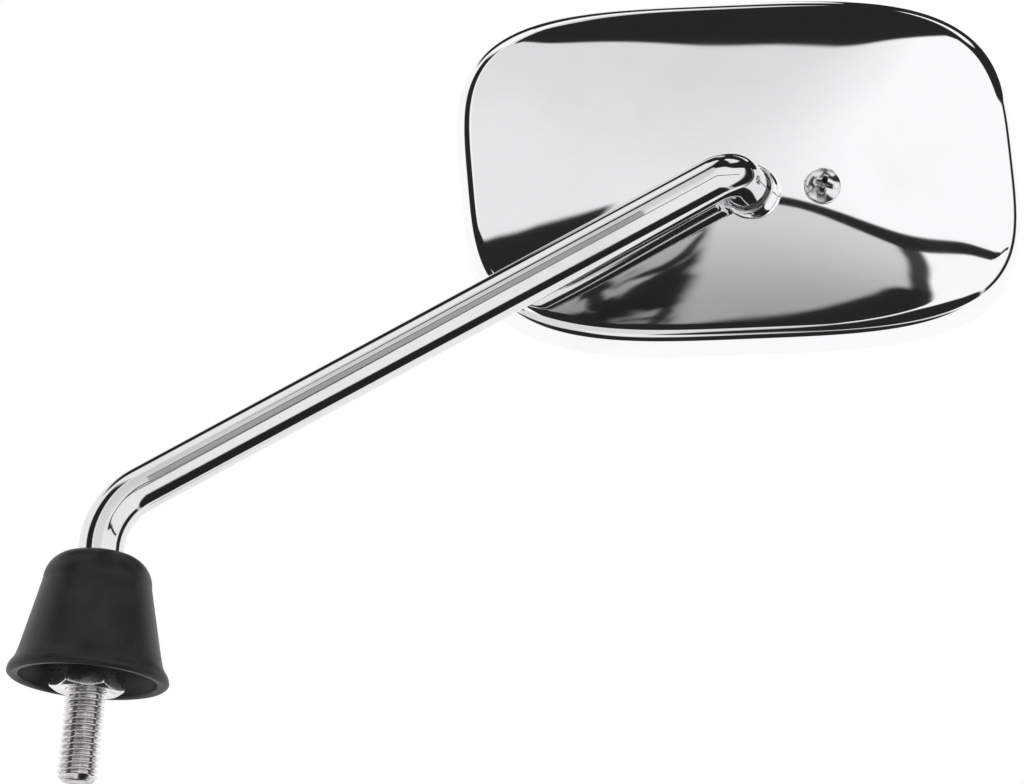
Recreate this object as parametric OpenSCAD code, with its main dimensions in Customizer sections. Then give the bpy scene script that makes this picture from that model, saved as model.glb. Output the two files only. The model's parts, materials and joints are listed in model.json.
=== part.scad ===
// Scooter mirror: a chromed steel arm with a ball end, a moulded head and a rubber boot.
// Z runs up the threaded stud. Z = 0 is the underside of the jam nut.
// The glass faces +Y and the domed back faces -Y.

/* [Stud] */
// Outside diameter of the stud's thread
stud_d = 8; // [6:0.5:10]
// Pitch of the stud's thread
stud_pitch = 1.25; // [1:0.05:1.5]
// Stud below the jam nut
stud_length = 18; // [12:1:30]
// Chamfer on the stud's tip
tip_chamfer = 1; // [0.5:0.1:1.5]
// Top of the thread, above the jam nut's underside
thread_top = 12; // [10:0.5:16]

/* [Jam nut] */
// Distance across the nut's flats
nut_flats = 13; // [13:0.5:17]
// Height of the nut
nut_height = 6.5; // [5:0.5:8]

/* [Arm] */
// Diameter of the arm
arm_d = 9; // [8.5:0.1:10]
// Height at which the stud's axis meets the arm's axis
lower_corner = 37; // [36:0.5:50]
// Turn of the lower bend
lower_turn = 55.5; // [30:0.5:60]
// Centre-line radius of the lower bend
lower_radius = 15; // [11:0.5:16]
// Length of the arm between the corners of its axis
arm_length = 142.7; // [130:0.1:180]
// Twist of the upper bend about the arm
upper_twist = 74; // [71:0.5:77]
// Turn of the upper bend
upper_turn = 73; // [70:0.5:75]
// Centre-line radius of the upper bend
upper_radius = 6.5; // [6:0.5:8]
// Straight stub after the upper bend
stub_length = 4; // [3.8:0.1:7]

/* [Ball joint] */
// Diameter of the ball
ball_d = 11; // [10.6:0.1:11.4]
// Diameter of the neck between ball and stub
neck_d = 6.4; // [5.6:0.1:6.6]
// Distance from the ball's centre to the stub's shoulder
neck_reach = 9.6; // [9.6:0.1:10.5]
// Thickness of the two plastic ball seats
seat_wall = 0.75; // [0.6:0.05:0.9]
// Wall of the mouth round the neck
mouth_wall = 0.6; // [0.6:0.1:1]
// Bore of the mouth round the neck
mouth_d = 9.2; // [9.2:0.1:10]
// Height of the mouth above the ball's centre
mouth_reach = 8.3; // [8:0.1:8.4]

/* [Head] */
// Width of the head at its rim
head_w = 114; // [106:1:124]
// Height of the head at its rim
head_h = 73; // [70:1:80]
// Squareness of the outline's corners
corner_power = 3.5; // [2.8:0.1:4.5]
// Sideways lean of the outline, as a share of its height
outline_lean = 0.052; // [0:0.004:0.08]
// Depth of the straight side wall
side_depth = 8.8; // [8.6:0.1:10]
// Draft of the side wall
side_draft = 3.3; // [1:0.1:5]
// Radius between side wall and domed back
edge_radius = 4; // [3.6:0.1:5]
// Rise of the domed back above that radius
dome_rise = 6; // [5.6:0.1:7]
// Wall of the shell
shell_wall = 2.2; // [1.8:0.1:2.4]
// Turn of the head about the vertical
head_yaw = 3.3; // [0:0.1:6]
// Turn of the head in its own plane
head_roll = 6.6; // [0:0.1:12]
// Ball's place across the head, seen from the glass side
ball_across = -4.6; // [-7:0.1:-3]
// Ball's place up the head
ball_up = -8; // [-10:0.5:-6]
// Ball's depth behind the rim
ball_depth = 11.8; // [11.6:0.1:12]

/* [Glass] */
// Thickness of the glass
glass_t = 2; // [1.8:0.1:2.1]
// Radius of the convex glass
glass_radius = 1200; // [1000:50:1400]
// Depth of the middle of the glass behind the rim
glass_recess = 0.55; // [0.5:0.05:0.6]
// Thickness of the backing sheet
backing_t = 0.5; // [0.4:0.05:0.6]
// Wall of the shell in front of its ledge
rim_wall = 1.6; // [1.4:0.1:1.8]
// Depth of the ledge behind the rim
ledge_depth = 4.6; // [4.6:0.1:5]
// Width of the ledge
ledge_width = 1.3; // [1:0.1:1.5]
// Wall of the rubber channel round the glass
channel_wall = 0.8; // [0.6:0.1:1]
// Reach of the channel's lips over the glass
channel_lip = 1.6; // [1.2:0.1:2]

/* [Clamp] */
// Thickness of the clamp plate
plate_t = 1.5; // [1.4:0.1:1.6]
// Width of the clamp plate
plate_w = 17; // [16.5:0.5:18]
// Distance from ball to clamp screw
screw_reach = 12.4; // [11.6:0.1:12.8]
// Distance from ball to the hooked end of the plate
hook_reach = 12.5; // [12:0.5:14]
// Diameter of the clamp screw
screw_d = 4; // [3.8:0.1:4]
// Diameter of the clamp screw's head
screw_head_d = 7; // [6.4:0.1:7.6]
// Height of the clamp screw's head
screw_head_h = 2.4; // [2:0.1:2.8]
// Across the flats of the square nut
square_nut_w = 7; // [6.6:0.1:7]
// Thickness of the square nut
square_nut_t = 2.2; // [2:0.1:2.2]
// Thickness of the spring washer
spring_washer_t = 0.9; // [0.8:0.05:0.9]

/* [Boot] */
// Height of the boot's mouth above the jam nut's underside
boot_base = 2; // [1:0.5:3]
// Height of the boot
boot_height = 25.6; // [24:0.2:26]
// Diameter of the flared lip
boot_lip_d = 32; // [30:0.5:36]
// Diameter of the boot just above the lip
boot_body_d = 27.6; // [26:0.2:29]
// Diameter of the boot at its shoulder
boot_shoulder_d = 21.5; // [20:0.5:24]
// Wall of the boot
boot_wall = 2.4; // [2:0.1:3]

/* [Hidden] */
$fn = 96;

// Clearances
running = 0.03;
sliding = 0.05;
joint_gap = 0.3;
clamp_gap = 0.6;
hole_gap = 0.2;
cut = 1;
lap = 0.1;
lap_turn = 0.5;
bend_draw = 0.05;
shoulder_chamfer = 0.5;

// Threads are drawn plain: at their outside diameter where they show,
// and at their pitch diameter inside a nut.
function pitch_radius(d, p) = d / 2 - 0.3248 * p;
stud_core = pitch_radius(stud_d, stud_pitch);
screw_pitch = 0.7;
screw_core = pitch_radius(screw_d, screw_pitch);

// Centre line of the arm
lower_tangent = lower_radius * tan(lower_turn / 2);
upper_tangent = upper_radius * tan(upper_turn / 2);
arm_dir = [sin(lower_turn), 0, cos(lower_turn)];
arm_side = [cos(lower_turn), 0, -sin(lower_turn)];
upper_side = arm_side * cos(upper_twist) + [0, 1, 0] * sin(upper_twist);
stub_dir = arm_dir * cos(upper_turn) + upper_side * sin(upper_turn);
ball_at = [0, 0, lower_corner] + arm_dir * arm_length
    + stub_dir * (upper_tangent + stub_length + neck_reach);

// Radii that share the ball's centre
ball_r = ball_d / 2;
seat_in = ball_r + running;
seat_out = seat_in + seat_wall;
socket_r = seat_out + running;
dimple_r = socket_r + plate_t;

// Levels in the head, along the glass normal, with the rim at 0
plate_lift = 3.1;
plate_front = -ball_depth + plate_lift;
plate_back = plate_front + plate_t;
nut_front = plate_back + spring_washer_t + sliding;
nut_back = nut_front + square_nut_t;
screw_end = nut_back + 0.4;
dome_top = side_depth + edge_radius + dome_rise;
glass_mid = -glass_recess;
backing_inset = 7;

// The head's frame: x across, y up and z out of the glass, seen from the glass side
module in_head() {
    translate(ball_at)
        rotate([0, 0, -head_yaw])
            rotate([0, -head_roll, 0])
                rotate([90, 0, 180])
                    translate([-ball_across, -ball_up, ball_depth])
                        children();
}

// Frames along the arm: z follows the centre line and x points into each bend
module past_bend(radius, turn) {
    translate([radius, 0, 0])
        rotate([0, turn, 0])
            translate([-radius, 0, 0])
                children();
}

module at_arm() {
    translate([0, 0, lower_corner - lower_tangent])
        past_bend(lower_radius, lower_turn)
            children();
}

module at_upper_bend() {
    at_arm()
        translate([0, 0, arm_length - lower_tangent - upper_tangent])
            rotate([0, 0, upper_twist])
                children();
}

module at_stub() {
    at_upper_bend()
        past_bend(upper_radius, upper_turn)
            children();
}

// The ball's frame: z points back out of the head, along the neck
module at_ball() {
    at_stub()
        translate([0, 0, stub_length + neck_reach])
            rotate([180, 0, 0])
                children();
}

// The rod draws a hair thinner in its bends, which run a little way into the straights
module bend(radius, turn, d) {
    translate([radius, 0, 0])
        rotate([90, 0, 0])
            rotate([0, 0, 180 - turn - lap_turn])
                rotate_extrude(angle = turn + 2 * lap_turn)
                    translate([radius, 0])
                        circle(d = d - 2 * bend_draw);
}

// Outline of the head: a leaning superellipse, as a point and its outward normal
outline_steps = 72;
function signed_power(x, p) = sign(x) * pow(abs(x), p);
function outline_angle(i) = 360 * (i + 0.5) / outline_steps;
function outline_core(i) = [
    head_w / 2 * signed_power(cos(outline_angle(i)), 2 / corner_power),
    head_h / 2 * signed_power(sin(outline_angle(i)), 2 / corner_power)];
function outline_point(i) =
    let (c = outline_core(i))
    [c.x + outline_lean * c.y, c.y];
function outline_normal(i) =
    let (c = outline_core(i),
        gx = signed_power(c.x / head_w * 2, corner_power - 1) / head_w,
        gy = signed_power(c.y / head_h * 2, corner_power - 1) / head_h,
        n = [gx, gy - outline_lean * gx])
    n / norm(n);
function inset_point(i, inset) = outline_point(i) - inset * outline_normal(i);
function at_level(p, z) = [p.x, p.y, z];

// The dome leaves the edge radius at the slope that it has there
function dome_slope(i, inset, rise) =
    atan(2 * rise / (inset_point(i, inset) * outline_normal(i)));

// Section of one skin, from the side wall to the top of the dome.
// A smaller radius and a larger inset give the inner skin.
edge_steps = 5;
dome_steps = 7;
function skin_point(i, k, inset, radius, top) =
    let (slope = dome_slope(i, inset + radius, dome_rise),
        lap = inset + radius - radius * sin(slope),
        lap_level = side_depth + radius * cos(slope),
        a = (90 - slope) * k / edge_steps,
        s = 1 - (k - edge_steps) / dome_steps)
    k <= edge_steps
        ? at_level(inset_point(i, inset + radius - radius * cos(a)), -side_depth - radius * sin(a))
        : at_level(inset_point(i, lap) * s, -lap_level - (top - lap_level) * (1 - s * s));
skin_rings = edge_steps + dome_steps - 1;
side_inset = side_depth * tan(side_draft);
inner_inset = rim_wall + ledge_width;
inner_radius = edge_radius + side_inset - inner_inset;
inner_top = dome_top - shell_wall;

// Rings from the top of the outer dome over the rim to the top of the inner dome
function shell_ring(r) = [for (i = [0:outline_steps - 1])
    r <= skin_rings ? skin_point(i, skin_rings - r, side_inset, edge_radius, dome_top)
    : r == skin_rings + 1 ? at_level(inset_point(i, 0), 0)
    : r == skin_rings + 2 ? at_level(inset_point(i, rim_wall), 0)
    : r == skin_rings + 3 ? at_level(inset_point(i, rim_wall), -ledge_depth)
    : r == skin_rings + 4 ? at_level(inset_point(i, inner_inset), -ledge_depth)
    : skin_point(i, r - skin_rings - 5, inner_inset, inner_radius, inner_top)];

// A skin over closed rings, with a point at each end
module loft_to_points(rings, first, last) {
    n = len(rings[0]);
    m = len(rings);
    points = concat([first], [for (r = rings) each r], [last]);
    faces = concat(
        [for (i = [0:n - 1]) [0, 1 + i, 1 + (i + 1) % n]],
        [for (r = [0:m - 2], i = [0:n - 1]) each [
            [1 + r * n + i, 1 + (r + 1) * n + i, 1 + r * n + (i + 1) % n],
            [1 + r * n + (i + 1) % n, 1 + (r + 1) * n + i, 1 + (r + 1) * n + (i + 1) % n]]],
        [for (i = [0:n - 1]) [1 + (m - 1) * n + i, 1 + m * n, 1 + (m - 1) * n + (i + 1) % n]]);
    polyhedron(points, faces, convexity = 6);
}

module shell_skin() {
    loft_to_points(
        [for (r = [0:2 * skin_rings + 5]) shell_ring(r)],
        [0, 0, -dome_top],
        [0, 0, -inner_top]);
}

// Inside of the moulding
boss_wall = 2;
boss_r = socket_r + boss_wall;
boss_top = plate_front - clamp_gap;
boss_foot = -(dome_top - shell_wall * 0.7);
screw_boss_r = screw_d / 2 + boss_wall + hole_gap;
screw_at = [ball_across - screw_reach, ball_up + 1];
hook_at = [ball_across + hook_reach, ball_up];
post_w = 9;
post_t = 2.4;
post_side = 1.7;
post_head = 1.6;
rib_t = 1.4;
rib_length = 11;
rib_top = boss_foot + 5;
recess_depth = 0.9;
screw_seat = -(dome_top - recess_depth);

module at_point(p, z) {
    translate([p.x, p.y, z])
        children();
}

module shell() {
    color("gainsboro")
        difference() {
            union() {
                in_head()
                    shell_skin();
                in_head() {
                    at_point([ball_across, ball_up], boss_foot)
                        cylinder(r = boss_r, h = boss_top - boss_foot);
                    at_point(screw_at, boss_foot)
                        cylinder(r = screw_boss_r, h = boss_top - boss_foot);
                    hook_post();
                    ribs();
                }
                at_ball()
                    cylinder(d = mouth_d + 2 * mouth_wall, h = mouth_reach);
            }
            at_ball() {
                sphere(r = socket_r);
                cylinder(d = mouth_d, h = mouth_reach + cut);
                translate([0, 0, mouth_reach])
                    cylinder(d = mouth_d + 2 * mouth_wall + cut, h = 4 * cut);
            }
            in_head() {
                at_point([ball_across, ball_up], -ball_depth)
                    cylinder(r = socket_r + running, h = ball_depth);
                at_point(screw_at, -dome_top - cut)
                    cylinder(r = screw_d / 2 + hole_gap, h = dome_top);
                at_point(screw_at, screw_seat - 3)
                    cylinder(r = screw_head_d / 2 + hole_gap, h = 3);
            }
        }
}

// The post whose window takes the hooked end of the clamp plate
module hook_post() {
    window_h = plate_t + 2 * hole_gap;
    difference() {
        at_point(hook_at + [-post_t / 2, -post_w / 2], boss_foot)
            cube([post_t, post_w, plate_back + post_head - boss_foot]);
        at_point(hook_at + [-post_t, -post_w / 2 + post_side], plate_front - hole_gap)
            cube([2 * post_t, post_w - 2 * post_side, window_h]);
    }
}

// Two ribs stiffen the back on either side of the ball joint, their feet inside the dome
module ribs() {
    for (x = [screw_at.x - rib_length - boss_wall, hook_at.x])
        translate([0, ball_up + rib_t / 2, 0])
            rotate([90, 0, 0])
                linear_extrude(height = rib_t)
                    polygon([[x, rib_foot(x)], [x + rib_length, rib_foot(x + rib_length)],
                        [x + rib_length, rib_top], [x, rib_top]]);
}
function rib_foot(x) = boss_foot + dome_rise * pow(2 * x / head_w, 2);

front_seat_from = 43;
front_seat_to = 80;
rear_seat_from = 8;
rear_seat_to = 60;

// A ring of a spherical seat between two angles from the frame's z axis
module seat_zone(from, to) {
    steps = 2;
    rotate_extrude()
        difference() {
            intersection() {
                circle(r = seat_out);
                polygon(concat([[0, 0]],
                    [for (k = [0:steps]) let (a = from + (to - from) * k / steps)
                        3 * seat_out * [sin(a), cos(a)]]));
            }
            circle(r = seat_in);
        }
}

module front_seat() {
    color("white")
        at_ball()
            seat_zone(front_seat_from, front_seat_to);
}

module rear_seat() {
    color("white")
        in_head()
            at_point([ball_across, ball_up], -ball_depth)
                seat_zone(rear_seat_from, rear_seat_to);
}

module stem() {
    color("silver") {
        translate([0, 0, -stud_length])
            cylinder(d1 = stud_d - 2 * tip_chamfer, d2 = stud_d, h = tip_chamfer);
        translate([0, 0, tip_chamfer - stud_length])
            cylinder(d = stud_d, h = stud_length - tip_chamfer);
        cylinder(r = stud_core, h = nut_height + joint_gap);
        translate([0, 0, nut_height + joint_gap])
            cylinder(d = stud_d, h = thread_top - nut_height - joint_gap);
        translate([0, 0, thread_top])
            cylinder(d1 = stud_d, d2 = arm_d, h = arm_d - stud_d);
        shank_foot = thread_top + arm_d - stud_d;
        translate([0, 0, shank_foot])
            cylinder(d = arm_d, h = lower_corner - lower_tangent - shank_foot);
        translate([0, 0, lower_corner - lower_tangent])
            bend(lower_radius, lower_turn, arm_d);
        at_arm()
            cylinder(d = arm_d, h = arm_length - lower_tangent - upper_tangent);
        at_upper_bend()
            bend(upper_radius, upper_turn, arm_d);
        at_stub()
            cylinder(d = arm_d, h = stub_length - shoulder_chamfer);
        at_stub()
            translate([0, 0, stub_length - shoulder_chamfer])
                cylinder(d1 = arm_d, d2 = arm_d - 2 * shoulder_chamfer, h = shoulder_chamfer);
        at_ball()
            cylinder(d = neck_d, h = neck_reach + lap);
        at_ball()
            sphere(d = ball_d);
    }
}

// A hexagon nut chamfered on both faces
module hex_nut(flats, height, bore_r, thread_r) {
    corner_r = flats / 2 / cos(30);
    drop = (corner_r - flats / 2 + 0.2) * tan(30);
    difference() {
        intersection() {
            cylinder(r = corner_r, h = height, $fn = 6);
            rotate_extrude()
                polygon([[0, 0], [flats / 2 - 0.2, 0], [corner_r, drop],
                    [corner_r, height - drop], [flats / 2 - 0.2, height], [0, height]]);
        }
        translate([0, 0, -cut])
            cylinder(r = bore_r, h = height + 2 * cut);
        flare = thread_r + 0.3 - bore_r;
        translate([0, 0, -0.01])
            cylinder(r1 = thread_r + 0.3, r2 = bore_r, h = flare);
        translate([0, 0, height - flare + 0.01])
            cylinder(r1 = bore_r, r2 = thread_r + 0.3, h = flare);
    }
}

module jam_nut() {
    color("lightsteelblue")
        hex_nut(nut_flats, nut_height, stud_core + running, stud_d / 2);
}

// Profile of the boot: flared lip band, tapered side, round shoulder and neck
module boot() {
    lip_r = boot_lip_d / 2;
    body_r = boot_body_d / 2;
    shoulder_r = boot_shoulder_d / 2;
    neck_r = arm_d / 2 + sliding;
    lip_h = 3;
    flare_h = 6;
    crown = 0.2;
    roof_curve = 3;
    round_r = shoulder_r - neck_r - crown;
    round_z = boot_height - round_r;
    outer = concat(
        [[lip_r - 0.9, 0], [lip_r, 0.6], [lip_r - 0.2, lip_h - 0.6], [lip_r - 0.9, lip_h]],
        [for (a = [0:15:90]) [body_r + (lip_r - 1.1 - body_r) * (1 - sin(a)),
            lip_h + (flare_h - lip_h) * (1 - cos(a)) + 0.1]],
        [for (a = [0:15:90]) [shoulder_r - round_r + round_r * cos(a),
            round_z + round_r * sin(a)]]);
    roof = boot_height - boot_wall - 0.8;
    inner = [[neck_r, boot_height], [neck_r, roof], [neck_r + crown, roof],
        [shoulder_r - boot_wall - 0.6, roof - roof_curve], [body_r - boot_wall, flare_h],
        [lip_r - boot_wall - 0.3, 1.5], [lip_r - boot_wall, 0]];
    color([0.14, 0.14, 0.15])
        translate([0, 0, boot_base])
            rotate_extrude()
                polygon(concat(outer, inner));
}

// Pressed steel plate: a dimple over the rear seat, a screw hole and a hooked end
module clamp_plate() {
    hook_w = post_w - 2 * post_side - 2 * hole_gap;
    color("darkgray")
        in_head()
            difference() {
                union() {
                    intersection() {
                        at_point([ball_across, ball_up], -ball_depth)
                            sphere(r = dimple_r);
                        at_point([ball_across, ball_up], plate_front)
                            cylinder(r = dimple_r, h = dimple_r);
                    }
                    at_point([screw_at.x - square_nut_w / 2 - 1, ball_up - plate_w / 2 + 1],
                        plate_front)
                        cube([hook_at.x - post_t - screw_at.x + square_nut_w / 2 + 1,
                            plate_w - 1, plate_t]);
                    at_point([hook_at.x - post_t - 1, hook_at.y - hook_w / 2], plate_front)
                        cube([2 * post_t + 2, hook_w, plate_t]);
                }
                at_point([ball_across, ball_up], -ball_depth)
                    sphere(r = socket_r);
                at_point(screw_at, plate_front - cut)
                    cylinder(r = screw_d / 2 + hole_gap, h = plate_t + 2 * cut);
            }
}

module clamp_screw() {
    under_head = screw_seat - sliding;
    color("silver")
        in_head()
            at_point(screw_at, under_head)
                difference() {
                    union() {
                        cylinder(d = screw_d, h = nut_front - sliding - under_head);
                        cylinder(r = screw_core, h = screw_end - under_head);
                        rotate([180, 0, 0])
                            pan_head();
                    }
                    translate([0, 0, -screw_head_h - 0.01])
                        cross_recess();
                }
}

// Pan head: a short straight edge under a low dome
module pan_head() {
    edge = screw_head_h * 0.4;
    rise = screw_head_h - edge;
    crown_r = (pow(screw_head_d / 2, 2) + rise * rise) / (2 * rise);
    cylinder(d = screw_head_d, h = edge);
    intersection() {
        cylinder(d = screw_head_d, h = screw_head_h);
        translate([0, 0, screw_head_h - crown_r])
            sphere(r = crown_r);
    }
}

// Cross recess that narrows with depth, cut from the head's top
module cross_recess() {
    slot_l = screw_head_d * 0.56;
    slot_w = 0.95;
    for (turn = [45, 135])
        rotate([0, 0, turn])
            rotate([90, 0, 0])
                translate([0, 0, -slot_w / 2])
                    linear_extrude(height = slot_w)
                        polygon([[-slot_l / 2, -cut], [slot_l / 2, -cut], [slot_l / 2, 0],
                            [slot_w / 2, 1.7], [-slot_w / 2, 1.7], [-slot_l / 2, 0]]);
}

// Split ring with its ends a little apart
module spring_washer() {
    color("silver")
        in_head()
            at_point(screw_at, plate_back)
                rotate([0, 0, 20])
                    rotate_extrude(angle = 345)
                        translate([screw_d / 2 + 0.1, 0])
                            square([1.3, spring_washer_t]);
}

module square_nut() {
    color("lightsteelblue")
        in_head()
            at_point(screw_at, nut_front)
                difference() {
                    translate([-square_nut_w / 2, -square_nut_w / 2, 0])
                        cube([square_nut_w, square_nut_w, square_nut_t]);
                    translate([0, 0, -cut])
                        cylinder(r = screw_core + running, h = square_nut_t + 2 * cut);
                }
}

// Fall of the convex glass at a distance from its middle, and its front above a point
sheet_steps = 16;
sheet_reach = 0.7 * head_w;
function glass_fall(reach) = glass_radius - sqrt(glass_radius * glass_radius - reach * reach);
function glass_front(p) = glass_mid - glass_fall(norm(p));
function sheet_point(k, top) =
    let (reach = sheet_reach * k / sheet_steps)
    [reach, top - glass_fall(reach)];

// A sheet of one thickness that follows the glass, with its front a depth behind the glass front
module curved_sheet(inset, depth, thickness) {
    top = glass_mid - depth;
    deepest = thickness + glass_fall(sheet_reach) + cut;
    intersection() {
        translate([0, 0, top - deepest])
            linear_extrude(height = deepest + cut)
                polygon([for (i = [0:outline_steps - 1]) inset_point(i, inset)]);
        rotate_extrude()
            polygon(concat(
                [for (k = [0:sheet_steps]) sheet_point(k, top)],
                [for (k = [0:sheet_steps]) sheet_point(sheet_steps - k, top - thickness)]));
    }
}

glass_inset = rim_wall + sliding + channel_wall + sliding;

module glass() {
    color("lightblue")
        in_head()
            curved_sheet(glass_inset, 0, glass_t);
}

module backing() {
    color("dimgray")
        in_head()
            curved_sheet(backing_inset, glass_t + sliding, backing_t);
}

// Rubber channel: a wall round the glass edge with a lip over each face
channel_out = rim_wall + sliding;
channel_in = channel_out + channel_wall;
channel_reach = channel_in + channel_lip;
function channel_section(i) =
    let (edge = glass_front(inset_point(i, channel_in)),
        tip = glass_front(inset_point(i, channel_reach)))
    [[channel_out, edge + 0.5], [channel_out + 0.4, edge + 0.85],
        [channel_reach, tip + 0.35], [channel_reach, tip + sliding],
        [channel_in, edge + sliding],
        [channel_in, edge - glass_t - sliding],
        [channel_reach, tip - glass_t - sliding],
        [channel_reach, tip - glass_t - sliding - 0.5],
        [inner_inset, sliding - ledge_depth], [channel_out, sliding - ledge_depth]];

module glass_channel() {
    rows = [for (i = [0:outline_steps - 1])
        [for (q = channel_section(i)) at_level(inset_point(i, q[0]), q[1])]];
    n = len(rows[0]);
    m = outline_steps;
    faces = [for (i = [0:m - 1], k = [0:n - 1]) each [
        [i * n + k, ((i + 1) % m) * n + k, i * n + (k + 1) % n],
        [i * n + (k + 1) % n, ((i + 1) % m) * n + k, ((i + 1) % m) * n + (k + 1) % n]]];
    color([0.1, 0.1, 0.1])
        in_head()
            polyhedron([for (row = rows) each row], faces, convexity = 6);
}

stem();
jam_nut();
boot();
front_seat();
rear_seat();
shell();
clamp_plate();
clamp_screw();
spring_washer();
square_nut();
glass();
backing();
glass_channel();
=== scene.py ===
# Scooter mirror: chrome, zinc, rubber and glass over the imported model.
# Lengths in the dictionaries are in millimetres and angles in degrees.
import json
import math

import bpy
import numpy as np
from mathutils import Matrix


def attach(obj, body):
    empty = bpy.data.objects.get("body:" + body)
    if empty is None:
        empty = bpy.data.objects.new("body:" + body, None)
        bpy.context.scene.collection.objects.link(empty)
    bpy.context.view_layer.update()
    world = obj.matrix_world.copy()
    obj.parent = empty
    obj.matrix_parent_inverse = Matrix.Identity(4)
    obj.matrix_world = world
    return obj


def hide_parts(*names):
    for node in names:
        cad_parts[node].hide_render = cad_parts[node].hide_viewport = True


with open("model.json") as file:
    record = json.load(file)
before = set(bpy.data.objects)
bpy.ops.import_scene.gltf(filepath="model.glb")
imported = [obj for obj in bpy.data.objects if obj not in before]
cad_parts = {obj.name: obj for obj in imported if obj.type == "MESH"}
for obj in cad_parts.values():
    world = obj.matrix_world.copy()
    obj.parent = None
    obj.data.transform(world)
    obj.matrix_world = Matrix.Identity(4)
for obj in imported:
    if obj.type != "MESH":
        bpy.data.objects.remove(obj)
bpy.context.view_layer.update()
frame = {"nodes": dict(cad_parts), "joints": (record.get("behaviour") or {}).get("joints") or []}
mm = 0.001
fullTurn = 2 * math.pi


# Places read from the frame

def unit(v):
    # A vector, or each row of an array, over its length
    v = np.asarray(v, float)
    return v / np.linalg.norm(v, axis=-1, keepdims=True)


jointNamed = {j["name"]: j for j in frame["joints"]}
ballAt = np.array(jointNamed["head_roll"]["pos_m"]) / mm
stubDir = unit(jointNamed["head_roll"]["axis"])
panDir = unit(jointNamed["head_pan"]["axis"])
glassDir = unit(jointNamed["screw_turn"]["axis"])
screwSeat = np.array(jointNamed["screw_turn"]["pos_m"]) / mm
headUp = unit(panDir - stubDir * (panDir @ glassDir) / (stubDir @ glassDir))
headAcross = np.cross(headUp, glassDir)
print("places read from the frame")


# Meshes from numpy grids

def meshFromGrid(name, grid, closedRows=False, firstPole=None, lastPole=None, sharpAngle=35):
    # Grid of rows x columns x 3 in mm. Columns always close round; rows close too if asked,
    # and a pole is one point that closes the first or last row with triangles.
    rows, columns = grid.shape[:2]
    points = grid.reshape(-1, 3)
    index = np.arange(rows * columns).reshape(rows, columns)
    ring = np.vstack([index, index[:1]]) if closedRows else index
    a, b = ring[:-1], ring[1:]
    quads = np.stack([a, np.roll(a, -1, 1), np.roll(b, -1, 1), b], -1).reshape(-1, 4)
    triangles = []
    for pole, row, order in ((firstPole, index[0], -1), (lastPole, index[-1], 1)):
        if pole is not None:
            points = np.vstack([points, [pole]])
            tip = np.full(columns, len(points) - 1)
            triangles.append(np.stack([row, np.roll(row, -1), tip][::order], -1))
    triangles = np.vstack(triangles) if triangles else np.zeros((0, 3), int)
    allTriangles = np.vstack([quads[:, [0, 1, 2]], quads[:, [0, 2, 3]], triangles])
    corners = points[allTriangles]
    volume = np.einsum("ij,ij->i", corners[:, 0], np.cross(corners[:, 1], corners[:, 2])).sum()
    if volume < 0:  # faces point outwards
        quads, triangles = quads[:, ::-1], triangles[:, ::-1]
    mesh = bpy.data.meshes.new(name)
    mesh.vertices.add(len(points))
    mesh.vertices.foreach_set("co", (points * mm).astype(np.float32).ravel())
    mesh.loops.add(quads.size + triangles.size)
    cornerList = np.concatenate([quads.ravel(), triangles.ravel()]).astype(np.int32)
    mesh.loops.foreach_set("vertex_index", cornerList)
    starts = np.concatenate([np.arange(len(quads)) * 4, quads.size + np.arange(len(triangles)) * 3])
    mesh.polygons.add(len(starts))
    mesh.polygons.foreach_set("loop_start", starts.astype(np.int32))
    mesh.update(calc_edges=True)
    mesh.validate()
    mesh.shade_smooth()
    mesh.set_sharp_from_angle(angle=math.radians(sharpAngle))
    piece = bpy.data.objects.new(name, mesh)
    bpy.context.scene.collection.objects.link(piece)
    return piece


def lathe(profile, columns, centre, axis, sideways):
    # Turns a profile of (radius, height) rows round an axis: centre + height * axis + radius * (cos, sin)
    profile = np.asarray(profile, float)
    turn = np.arange(columns) * fullTurn / columns
    other = np.cross(axis, sideways)
    around = np.cos(turn)[:, None] * sideways + np.sin(turn)[:, None] * other
    return centre + profile[:, None, 1:2] * axis + profile[:, None, 0:1] * around[None]


def roundedPath(points, radii, steps=5):
    # A path with rounded corners: at each, a quadratic curve (1-t)^2 start + 2t(1-t) corner + t^2 end
    path = [np.asarray(points[0], float)]
    for before, corner, after, radius in zip(points[:-2], points[1:-1], points[2:], radii):
        before, corner, after = (np.asarray(p, float) for p in (before, corner, after))
        reach = min(radius, 0.49 * np.linalg.norm(corner - before), 0.49 * np.linalg.norm(after - corner))
        start = corner + reach * unit(before - corner)
        end = corner + reach * unit(after - corner)
        t = np.linspace(0, 1, steps)[:, None]
        path += list((1 - t) ** 2 * start + 2 * t * (1 - t) * corner + t ** 2 * end)
    path.append(np.asarray(points[-1], float))
    return np.array(path)


def smoothStep(x):
    # 3x^2 - 2x^3 between 0 and 1
    x = np.clip(x, 0, 1)
    return x * x * (3 - 2 * x)


# Stem: stud, arm and ball in one turned and bent rod

stemForm = {
    "studDiameter": 8, "pitch": 1.25, "threadDepth": 0.72, "crestShare": 0.12, "flankShare": 0.66,
    "studBottom": -18, "tipChamfer": 1, "threadTop": 12, "threadFade": 1.5, "footPlain": 0.2,
    "footFade": 0.8, "crestDrop": 0.02,
    "armDiameter": 9, "lowerCorner": 37, "lowerTurn": 55.5, "lowerRadius": 15, "armLength": 142.7,
    "upperTwist": 74, "upperTurn": 73, "upperRadius": 6.5, "stubLength": 4,
    "neckDiameter": 6.4, "neckReach": 9.6, "ballDiameter": 11,
    "shoulderRound": 0.7, "neckRound": 0.4,
    "columns": 96, "stepsPerPitch": 18, "lowerSteps": 56, "armSteps": 90, "upperSteps": 64, "ballSteps": 40,
}


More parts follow.
